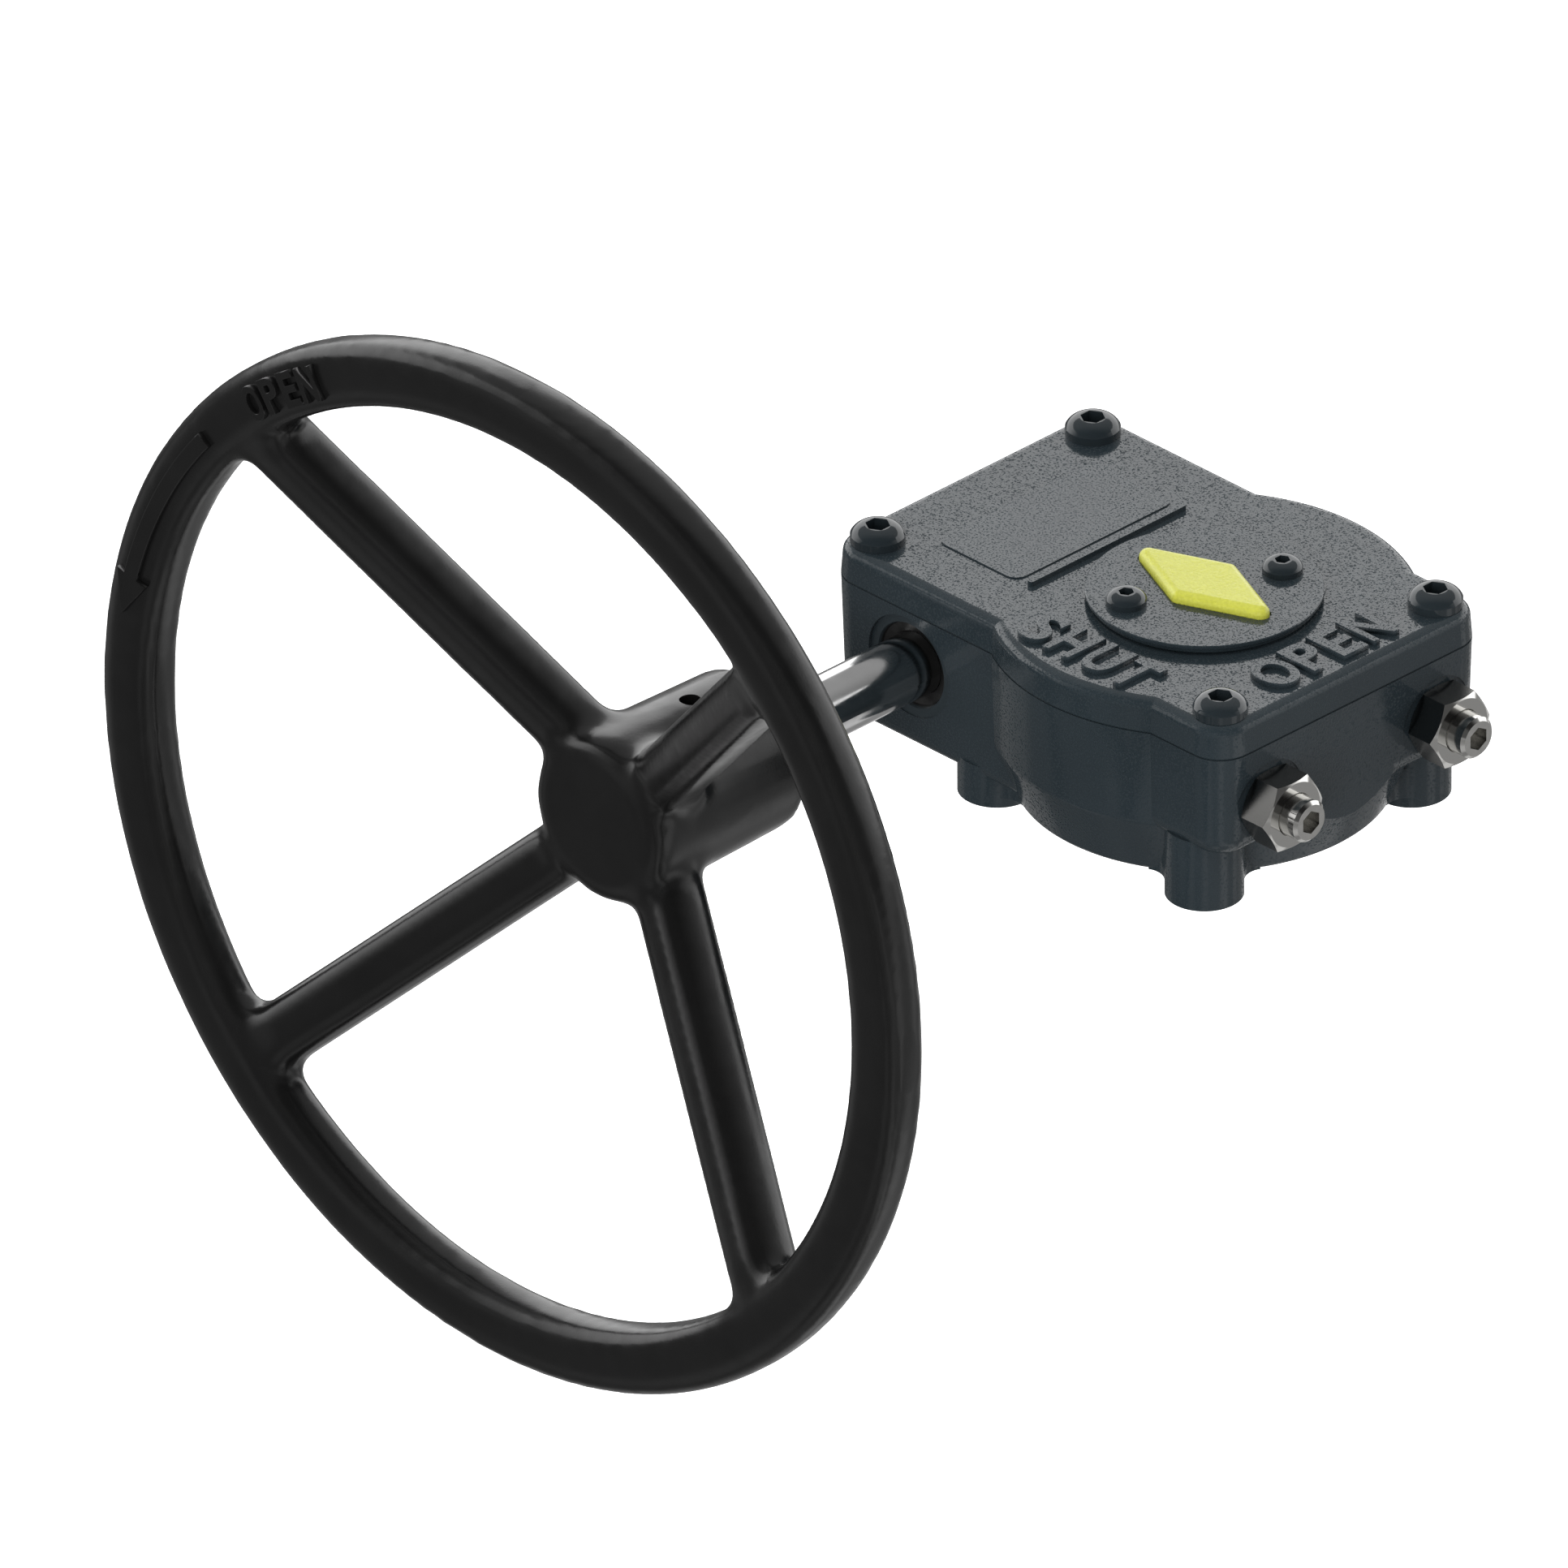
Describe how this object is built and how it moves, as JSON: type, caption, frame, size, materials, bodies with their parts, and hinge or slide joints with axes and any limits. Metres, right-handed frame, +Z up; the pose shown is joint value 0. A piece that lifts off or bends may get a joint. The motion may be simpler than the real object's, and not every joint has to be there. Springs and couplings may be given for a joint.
{
  "type": "quarter-turn valve gear operator",
  "caption": "Quarter-turn valve gear operator: a worm gearbox with a keyed output bore, a bolted valve flange, a position pointer and travel stops, turned by a spoked handwheel on a shaft.",
  "frame": {"origin": "on the output axis, in the plane of the lugs that stand on the valve's top flange", "axes": "+Z up along the output axis, away from the valve; -Y along the input shaft towards the handwheel; +X towards the wall that carries the stop screws"},
  "size_m": [0.2, 0.1774, 0.2],
  "materials": {
    "casting_paint": "gloss powder coat",
    "screw_paint": "gloss paint",
    "nameplate_paint": "gloss painted",
    "wheel_paint": "satin powder coat",
    "pointer_plastic": "moulded, semi-gloss",
    "stainless": "bright",
    "shaft_steel": "ground",
    "gear_steel": "machined",
    "gear_iron": "machined",
    "bronze": "machined",
    "plug_steel": "gloss paint",
    "seal_rubber": "matte"
  },
  "bodies": {
    "gearbox": {"housing": "casting_paint", "cover": "casting_paint", "cover_gasket": "seal_rubber", "nameplate": "nameplate_paint", "cover_screws": "screw_paint", "dowel_pins": "gear_steel", "lower_bush": "bronze", "upper_bush": "bronze", "base_seal": "seal_rubber", "indicator_seal": "seal_rubber", "shaft_seal": "seal_rubber", "front_bearing": "bronze", "rear_bearing": "bronze", "front_thrust_washer": "bronze", "rear_thrust_washer": "bronze", "rear_plug": "plug_steel", "stop_lock_nuts": "stainless"},
    "input": {"input_shaft": "shaft_steel", "worm": "gear_steel", "worm_pin": "gear_steel", "handwheel": "wheel_paint", "handwheel_pin": "gear_steel"},
    "output": {"worm_quadrant": "gear_iron", "indicator_cap": "casting_paint", "indicator_pointer": "pointer_plastic", "indicator_screws": "screw_paint"},
    "open_stop": {"open_stop_screw": "stainless"},
    "shut_stop": {"shut_stop_screw": "stainless"}
  },
  "joints": [
    {"name": "input_spin", "type": "hinge", "parent": "gearbox", "child": "input", "pos_m": [-0.0411, 0, 0.0217], "axis": [0, -1, 0], "range_deg": [-3240, 0]},
    {"name": "output_turn", "type": "hinge", "parent": "gearbox", "child": "output", "pos_m": [0, 0, 0.0217], "axis": [0, 0, 1], "range_deg": [-90, 0]},
    {"name": "open_stop_slide", "type": "slide", "parent": "gearbox", "child": "open_stop", "axis": [1, 0, 0], "range_m": [0, 0.003]},
    {"name": "shut_stop_slide", "type": "slide", "parent": "gearbox", "child": "shut_stop", "axis": [1, 0, 0], "range_m": [0, 0.003]}
  ],
  "couplings": [
    {"joint": "output_turn", "follows": "input_spin", "ratio": 0.027778}
  ]
}
